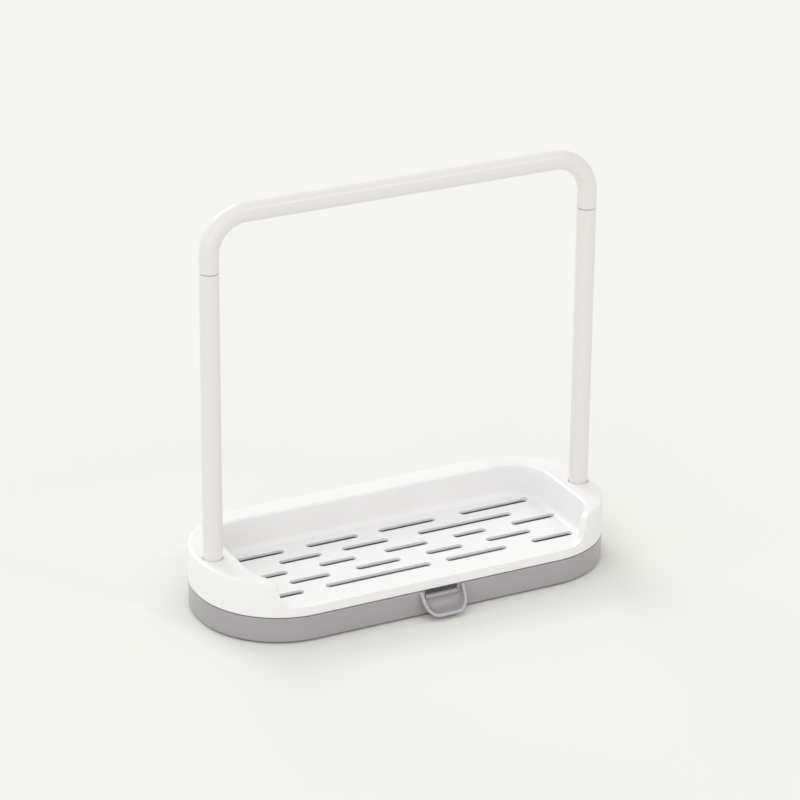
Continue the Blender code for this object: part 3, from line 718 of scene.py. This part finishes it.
def floor_slots_tree():
    """Geometry nodes that stretch one round slot former to each slot's own length."""
    tree = bpy.data.node_groups.new("floor_slots", "GeometryNodeTree")
    tree.is_modifier = True
    face = tree.interface
    face.new_socket("Slot Centres", in_out="INPUT", socket_type="NodeSocketGeometry")
    face.new_socket("Former", in_out="INPUT", socket_type="NodeSocketObject")
    width = face.new_socket("Slot Width", in_out="INPUT", socket_type="NodeSocketFloat")
    width.default_value = slot_width
    face.new_socket("Finish", in_out="INPUT", socket_type="NodeSocketMaterial")
    face.new_socket("Slots", in_out="OUTPUT", socket_type="NodeSocketGeometry")
    nodes, links = tree.nodes, tree.links
    given = nodes.new("NodeGroupInput")
    former = nodes.new("GeometryNodeObjectInfo")
    half_width = nodes.new("ShaderNodeMath")
    half_width.operation = "DIVIDE"
    half_width.inputs[1].default_value = 2.0
    across = nodes.new("ShaderNodeCombineXYZ")
    across.inputs["Z"].default_value = 1.0
    copies = nodes.new("GeometryNodeInstanceOnPoints")
    real = nodes.new("GeometryNodeRealizeInstances")
    reach = nodes.new("GeometryNodeInputNamedAttribute")
    reach.inputs["Name"].default_value = "reach"
    side = nodes.new("GeometryNodeInputNamedAttribute")
    side.inputs["Name"].default_value = "side"
    stretch = nodes.new("ShaderNodeMath")
    stretch.operation = "MULTIPLY"
    along = nodes.new("ShaderNodeCombineXYZ")
    move = nodes.new("GeometryNodeSetPosition")
    coat = nodes.new("GeometryNodeSetMaterial")
    out = nodes.new("NodeGroupOutput")
    links.new(given.outputs["Former"], former.inputs["Object"])
    links.new(given.outputs["Slot Width"], half_width.inputs[0])
    links.new(half_width.outputs[0], across.inputs["X"])
    links.new(half_width.outputs[0], across.inputs["Y"])
    links.new(given.outputs["Slot Centres"], copies.inputs["Points"])
    links.new(former.outputs["Geometry"], copies.inputs["Instance"])
    links.new(across.outputs[0], copies.inputs["Scale"])
    links.new(copies.outputs[0], real.inputs[0])
    links.new(real.outputs[0], move.inputs["Geometry"])
    links.new(reach.outputs["Attribute"], stretch.inputs[0])
    links.new(side.outputs["Attribute"], stretch.inputs[1])
    links.new(stretch.outputs[0], along.inputs["X"])
    links.new(along.outputs[0], move.inputs["Offset"])
    links.new(move.outputs[0], coat.inputs["Geometry"])
    links.new(given.outputs["Finish"], coat.inputs["Material"])
    links.new(coat.outputs[0], out.inputs[0])
    return tree


def slot_former():
    """A round cutter of unit radius with a flared top, whose halves know which way they move."""
    edge = slot_edge / (slot_width / 2)
    levels = [(1 - slot_draft / (slot_width / 2), basin_floor_underside - past)]
    for drop, flare in rounded_edge(edge):
        levels.append((1 + flare, basin_floor_top - drop * slot_width / 2))
    levels.append((1 + edge, basin_floor_top + past))
    mesh = turned("slot_former", levels, slot_round_steps, math.pi / slot_round_steps)
    side = mesh.attributes.new("side", "FLOAT", "POINT")
    side.data.foreach_set("value", [math.copysign(1, v.co.x) for v in mesh.vertices])
    return mesh


def floor_slots():
    """All the slots in the basin's floor, row by row from the back."""
    centres, reaches = [], []
    for row, spans in enumerate(slot_rows):
        y = ((len(slot_rows) - 1) / 2 - row) * slot_row_pitch - slot_rows_forward
        for start, end in spans:
            centres.append(((start + end) / 2 * slot_half_row, y, 0))
            reaches.append((end - start) / 2 * slot_half_row - slot_width / 2)
    spots = bpy.data.meshes.new("floor_slots")
    spots.from_pydata(centres, [], [])
    spots.attributes.new("reach", "FLOAT", "POINT").data.foreach_set("value", reaches)
    former = workpiece(slot_former())
    row = workpiece(spots)
    with_nodes(row, floor_slots_tree(), former=former, slot_width=slot_width, finish=white_abs)
    mesh = baked(row)
    bpy.data.objects.remove(former, do_unlink=True)
    return mesh


top_rings = [footprint(inset, shelf_top - drop) for inset, drop in rounded_edge(shelf_edge)]
shelf = workpiece(lofted("shelf", [footprint(0, shelf_seat - rib_height)] + top_rings[::-1]))
cut(shelf, window())
round_edges(shelf, "lip_edge", lip_edge, lip_edge_steps, carved_edge_angle)
cut(
    shelf,
    lofted(
        "skirt_trim",
        [
            footprint(-past, shelf_seat - rib_height - past),
            footprint(-past, shelf_seat + shadow_gap_height),
        ],
    ),
)
cut(
    shelf,
    lofted(
        "shelf_foot",
        [
            footprint(rib_inset, shelf_seat - rib_height),
            footprint(rib_inset, shelf_seat),
            footprint(shadow_gap_depth, shelf_seat),
            footprint(shadow_gap_depth, basin_floor_top),
        ],
    ),
    "UNION",
)
cut(shelf, basin_hollow())
cut(shelf, underside_hollow())
cut(shelf, rib_break())
cut(shelf, floor_slots())
socket_profile = [(socket_radius, socket_floor)]
for drop, flare in rounded_edge(socket_edge):
    socket_profile.append((socket_radius + flare, shelf_top - drop))
socket_profile.append((socket_radius + socket_edge, shelf_top + past))
hole_bottom = socket_web_underside - past
hole_top = socket_floor + past
for sign in (-1, 1):
    socket = turned("socket", socket_profile)
    socket.transform(Matrix.Translation((sign * post_x, post_y, 0)))
    cut(shelf, socket)
    cut(shelf, upright("screw_hole", screw_hole, hole_bottom, hole_top, sign * post_x, post_y))
shelf_mesh = softened(baked(shelf))
shelf_mesh.transform(Matrix.Translation((0, footprint_middle_y, 0)))
finished("drain_shelf_moulding", shelf_mesh, white_abs, "shelf_plastic", "shelf", "drain_shelf")


# Posts. Two straight steel tubes with a smooth white coating, which stand in the shelf's sockets.
# The coating has the faint orange peel of sprayed powder, and rolls over the cut ends.

post_bottom = 23.1 * mm
post_top = 206.4 * mm
tube_wall = 1.0 * mm
tube_end_round = 0.2 * mm
tube_end_steps = 3
tube_end_angle = 60
tube_smooth_angle = 50

white_coating = skinned_finish(
    "white_coating",
    colour=(0.792, 0.766, 0.752),
    relief=0.02 * mm,
    settings={
        "Grain Per Metre": 900.0,
        "Grain Depth": 0.5,
        "Gloss": 0.30,
        "Gloss Spread": 0.05,
        "Colour Spread": 0.012,
    },
    fixed=(("IOR", 1.54), ("Coat Weight", 0.12), ("Coat Roughness", 0.2)),
)


def coated_tube_tree():
    """Geometry nodes that bend a tube along a line of points, with a round at each corner."""
    tree = bpy.data.node_groups.new("coated_tube", "GeometryNodeTree")
    tree.is_modifier = True
    face = tree.interface
    face.new_socket("Line", in_out="INPUT", socket_type="NodeSocketGeometry")
    radius = face.new_socket("Tube Radius", in_out="INPUT", socket_type="NodeSocketFloat")
    radius.default_value = post_radius
    face.new_socket("Bend Radius", in_out="INPUT", socket_type="NodeSocketFloat")
    face.new_socket("Bend Steps", in_out="INPUT", socket_type="NodeSocketInt").default_value = 24
    face.new_socket("Round Steps", in_out="INPUT", socket_type="NodeSocketInt").default_value = 48
    face.new_socket("Finish", in_out="INPUT", socket_type="NodeSocketMaterial")
    face.new_socket("Tube", in_out="OUTPUT", socket_type="NodeSocketGeometry")
    nodes, links = tree.nodes, tree.links
    given = nodes.new("NodeGroupInput")
    line = nodes.new("GeometryNodeMeshToCurve")
    bend = nodes.new("GeometryNodeFilletCurve")
    bend.mode = "POLY"
    bend.inputs["Limit Radius"].default_value = True
    ring = nodes.new("GeometryNodeCurvePrimitiveCircle")
    sweep = nodes.new("GeometryNodeCurveToMesh")
    smooth = nodes.new("GeometryNodeSetShadeSmooth")
    real = nodes.new("GeometryNodeRealizeInstances")
    coat = nodes.new("GeometryNodeSetMaterial")
    out = nodes.new("NodeGroupOutput")
    links.new(given.outputs["Line"], line.inputs["Mesh"])
    links.new(line.outputs[0], bend.inputs["Curve"])
    links.new(given.outputs["Bend Radius"], bend.inputs["Radius"])
    links.new(given.outputs["Bend Steps"], bend.inputs["Count"])
    links.new(given.outputs["Round Steps"], ring.inputs["Resolution"])
    links.new(given.outputs["Tube Radius"], ring.inputs["Radius"])
    links.new(bend.outputs[0], sweep.inputs["Curve"])
    links.new(ring.outputs[0], sweep.inputs["Profile Curve"])
    links.new(sweep.outputs[0], smooth.inputs["Geometry"])
    links.new(smooth.outputs[0], real.inputs[0])
    links.new(real.outputs[0], coat.inputs["Geometry"])
    links.new(given.outputs["Finish"], coat.inputs["Material"])
    links.new(coat.outputs[0], out.inputs[0])
    return tree


coated_tube = coated_tube_tree()


def tube_along(name, points, bend_radius=0.0):
    """A tube with its bore, bent along a line of points, its ends rolled over."""
    line = bpy.data.meshes.new(name)
    line.from_pydata(points, [(i, i + 1) for i in range(len(points) - 1)], [])
    tube = workpiece(line)
    with_nodes(
        tube,
        coated_tube,
        tube_radius=post_radius,
        bend_radius=bend_radius,
        finish=white_coating,
    )
    wall = tube.modifiers.new("wall", "SOLIDIFY")
    wall.thickness = tube_wall
    wall.offset = -1
    round_edges(tube, "rolled_ends", tube_end_round, tube_end_steps, tube_end_angle)
    mesh = baked(tube)
    bm = bmesh.new()
    bm.from_mesh(mesh)
    bmesh.ops.recalc_face_normals(bm, faces=bm.faces)
    bm.to_mesh(mesh)
    bm.free()
    return softened(mesh, tube_smooth_angle)


tube_y = post_y + footprint_middle_y
for side, sign in (("left", -1), ("right", 1)):
    foot_point = (sign * post_x, tube_y, post_bottom)
    head_point = (sign * post_x, tube_y, post_top)
    post_mesh = tube_along(f"{side}_post_tube", [foot_point, head_point])
    finished(f"{side}_post_tube", post_mesh, white_coating, "coated_tube", "shelf", f"{side}_post")


# Top rail. The same tube in one length, bent down at both ends to meet the posts, which leaves
# a thin seam on each side a little below the bend.

rail_bottom = 206.8 * mm
rail_height = 237.6 * mm
rail_bend = 21.5 * mm

rail_points = [
    (post_x, tube_y, rail_bottom),
    (post_x, tube_y, rail_height),
    (-post_x, tube_y, rail_height),
    (-post_x, tube_y, rail_bottom),
]
rail_mesh = tube_along("top_rail_tube", rail_points, rail_bend)
finished("top_rail_tube", rail_mesh, white_coating, "coated_tube", "shelf", "top_rail")


# Joiners and plugs. Pale nylon turnings that are hidden in the tubes: a joiner carries the rail
# on each post, and a plug closes each post's foot and takes its screw. Their solids stay.

pale_nylon = skinned_finish(
    "pale_nylon",
    colour=(0.62, 0.62, 0.60),
    relief=0.02 * mm,
    settings={
        "Grain Per Metre": 2200.0,
        "Grain Depth": 0.6,
        "Gloss": 0.5,
        "Gloss Spread": 0.08,
        "Colour Spread": 0.03,
    },
)
for inner in ("left_rail_joiner", "right_rail_joiner", "left_post_plug", "right_post_plug"):
    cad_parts[inner].data.materials.clear()
    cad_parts[inner].data.materials.append(pale_nylon)


# Screws and washers. A zinc-plated pan-head screw with a cross recess goes up through a washer
# and the shelf's web into each post's plug.

screw_head_top = 19.0 * mm
screw_head_bottom = 16.4 * mm
screw_tip = 33.0 * mm
screw_radius = 2.0 * mm
screw_head_radius = 3.8 * mm
screw_head_edge = 1.3 * mm
screw_head_middle = screw_head_radius / 3
screw_turn = math.radians(25)
thread_pitch = 0.7 * mm
thread_depth = 0.25 * mm
tip_pitches = 3
tip_shoulder = screw_radius / 2
tip_point = screw_radius / 4
recess_width = 1.1 * mm
recess_reach = 2.2 * mm
recess_depth = 1.4 * mm
recess_mouth_half = 0.5
recess_bottom_half = 0.3
washer_top = 20.1 * mm
washer_bottom = 19.3 * mm
washer_radius = 4.75 * mm
washer_edge = 0.15 * mm

zinc_plate = skinned_finish(
    "zinc_plate",
    colour=(0.62, 0.62, 0.63),
    relief=0.01 * mm,
    settings={
        "Grain Per Metre": 5200.0,
        "Grain Depth": 0.6,
        "Gloss": 0.30,
        "Gloss Spread": 0.18,
        "Colour Spread": 0.08,
    },
    fixed=(("Metallic", 1.0),),
)
head = [(screw_head_middle, screw_head_bottom)]
for inset, rise in rounded_edge(screw_head_edge):
    head.append((screw_head_radius - inset, screw_head_bottom + rise))
head.append((screw_head_radius, screw_head_top))
thread = [(screw_radius, screw_head_top)]
height = screw_head_top + thread_pitch
while height < screw_tip - tip_pitches * thread_pitch:
    thread += [
        (screw_radius, height),
        (screw_radius - thread_depth, height + thread_pitch / 3),
        (screw_radius, height + thread_pitch * 2 / 3),
    ]
    height += thread_pitch
thread += [
    (screw_radius, height),
    (tip_shoulder, screw_tip - thread_pitch),
    (tip_point, screw_tip),
]
screw = workpiece(turned("screw", head + thread))
recess_levels = (
    (recess_mouth_half, screw_head_bottom - past),
    (recess_mouth_half, screw_head_bottom),
    (recess_bottom_half, screw_head_bottom + recess_depth),
)
for wide, deep in ((recess_reach, recess_width), (recess_width, recess_reach)):
    arm = [
        [(x * wide * half, y * deep * half, z) for x, y in ((-1, -1), (1, -1), (1, 1), (-1, 1))]
        for half, z in recess_levels
    ]
    cut(screw, lofted("recess", arm))
screw_spots = [(sign * post_x, tube_y, 0) for sign in (-1, 1)]
screw_mesh = softened(
    copies_at("pan_head_screws", baked(screw), screw_spots, zinc_plate, screw_turn)
)
finished(
    "pan_head_screws",
    screw_mesh,
    zinc_plate,
    "screw_steel",
    "shelf",
    "left_post_screw",
    "right_post_screw",
)
washer = workpiece(
    turned(
        "washer",
        [
            (washer_radius - washer_edge, washer_bottom),
            (washer_radius, washer_bottom + washer_edge),
            (washer_radius, washer_top - washer_edge),
            (washer_radius - washer_edge, washer_top),
        ],
    )
)
cut(washer, upright("washer_hole", screw_hole, washer_bottom - past, washer_top + past, 0, 0))
washer_mesh = softened(copies_at("washers", baked(washer), screw_spots, zinc_plate))
finished(
    "washers",
    washer_mesh,
    zinc_plate,
    "screw_steel",
    "shelf",
    "left_post_washer",
    "right_post_washer",
)


# Table top and room. A wide pale matt sheet that takes the rack's soft shadow, under a pale room
# that mirrors and the camera see as white.

table_half = 6.0
room_colour = (1.0, 1.0, 0.985)
room_strength = 0.68
backdrop_colour = (0.896, 0.905, 0.863)
backdrop_strength = 1.0

pale_sheet = skinned_finish(
    "pale_sheet",
    colour=(0.845, 0.849, 0.815),
    relief=0.01 * mm,
    settings={
        "Grain Per Metre": 700.0,
        "Grain Depth": 0.2,
        "Cloud Per Metre": 3.0,
        "Gloss": 0.9,
        "Colour Spread": 0.004,
    },
    fixed=(("Specular IOR Level", 0.1),),
)
corners = [
    (sx * table_half, sy * table_half, 0) for sx, sy in ((-1, -1), (1, -1), (1, 1), (-1, 1))
]
table_mesh = bpy.data.meshes.new("table_top")
table_mesh.from_pydata(corners, [], [(0, 1, 2, 3)])
table_mesh.materials.append(pale_sheet)
table_top = bpy.data.objects.new("table_top", table_mesh)
bpy.context.scene.collection.objects.link(table_top)

room = bpy.data.worlds.new("pale_room")
bpy.context.scene.world = room
room.use_nodes = True
room_nodes, room_links = room.node_tree.nodes, room.node_tree.links
lit = room_nodes["Background"]
lit.inputs["Color"].default_value = (*room_colour, 1)
lit.inputs["Strength"].default_value = room_strength
seen = room_nodes.new("ShaderNodeBackground")
seen.inputs["Color"].default_value = (*backdrop_colour, 1)
seen.inputs["Strength"].default_value = backdrop_strength
path = room_nodes.new("ShaderNodeLightPath")
camera_or_gloss = room_nodes.new("ShaderNodeMath")
camera_or_gloss.operation = "MAXIMUM"
any_mirror = room_nodes.new("ShaderNodeMath")
any_mirror.operation = "MAXIMUM"
blend = room_nodes.new("ShaderNodeMixShader")
room_links.new(path.outputs["Is Camera Ray"], camera_or_gloss.inputs[0])
room_links.new(path.outputs["Is Glossy Ray"], camera_or_gloss.inputs[1])
room_links.new(camera_or_gloss.outputs[0], any_mirror.inputs[0])
room_links.new(path.outputs["Is Transmission Ray"], any_mirror.inputs[1])
room_links.new(any_mirror.outputs[0], blend.inputs["Fac"])
room_links.new(lit.outputs[0], blend.inputs[1])
room_links.new(seen.outputs[0], blend.inputs[2])
room_links.new(blend.outputs[0], room_nodes["World Output"].inputs["Surface"])


# Lamps. Most of the light comes from the room, with a very broad lamp overhead. A soft sun low
# behind the rack throws its shadow forward, two very broad ones fill the left side and the
# front, and a small one gives the rims and the rail their thin highlights.

lamp_distance = 2.0


def bearing(azimuth, elevation):
    """The way to a place, from its angle round from the front and its height, in radians."""
    return Vector(
        (
            math.sin(azimuth) * math.cos(elevation),
            -math.cos(azimuth) * math.cos(elevation),
            math.sin(elevation),
        )
    )


for name, azimuth, elevation, width, strength, colour in (
    ("top_light", 0, 88, 90, 0.32, (1.0, 1.0, 1.0)),
    ("back_light", -174, 31, 36, 0.88, (1.0, 1.0, 1.0)),
    ("left_light", -85, 15, 100, 0.60, (0.95, 0.97, 1.0)),
    ("low_light", -25, 16, 60, 0.44, (1.0, 1.0, 1.0)),
    ("rim_light", 33, 43, 9, 0.20, (1.0, 0.98, 0.95)),
):
    towards = bearing(math.radians(azimuth), math.radians(elevation))
    lamp = bpy.data.lights.new(name, "SUN")
    lamp.angle = math.radians(width)
    lamp.energy = strength
    lamp.color = colour
    holder = bpy.data.objects.new(name, lamp)
    holder.location = towards * lamp_distance
    holder.rotation_mode = "QUATERNION"
    holder.rotation_quaternion = towards.to_track_quat("Z", "Y")
    bpy.context.scene.collection.objects.link(holder)


# Camera. It stands in front of the rack, to its left and above, as in the photograph.

azimuth, elevation, roll = (math.radians(a) for a in (-27.2537, 23.4375, 0.497))
distance = 1.97051
focal_pixels = 3506.38
frame_pixels = 800
looked_at = Vector((0.005104, 0.014195, 0.105167))
back = bearing(azimuth, elevation)
level_right = Vector((math.cos(azimuth), math.sin(azimuth), 0))
level_up = back.cross(level_right)
right = level_right * math.cos(roll) + level_up * math.sin(roll)
up = back.cross(right)
camera = bpy.data.cameras.new("camera")
camera.sensor_width = 36.0
camera.lens = focal_pixels / frame_pixels * camera.sensor_width
camera.clip_start = 0.1
camera.clip_end = 50.0
viewer = bpy.data.objects.new("camera", camera)
facing = Matrix((right, up, back)).transposed().to_4x4()
viewer.matrix_world = Matrix.Translation(looked_at + back * distance) @ facing
bpy.context.scene.collection.objects.link(viewer)
bpy.context.scene.camera = viewer
bpy.context.scene.view_settings.view_transform = "Standard"
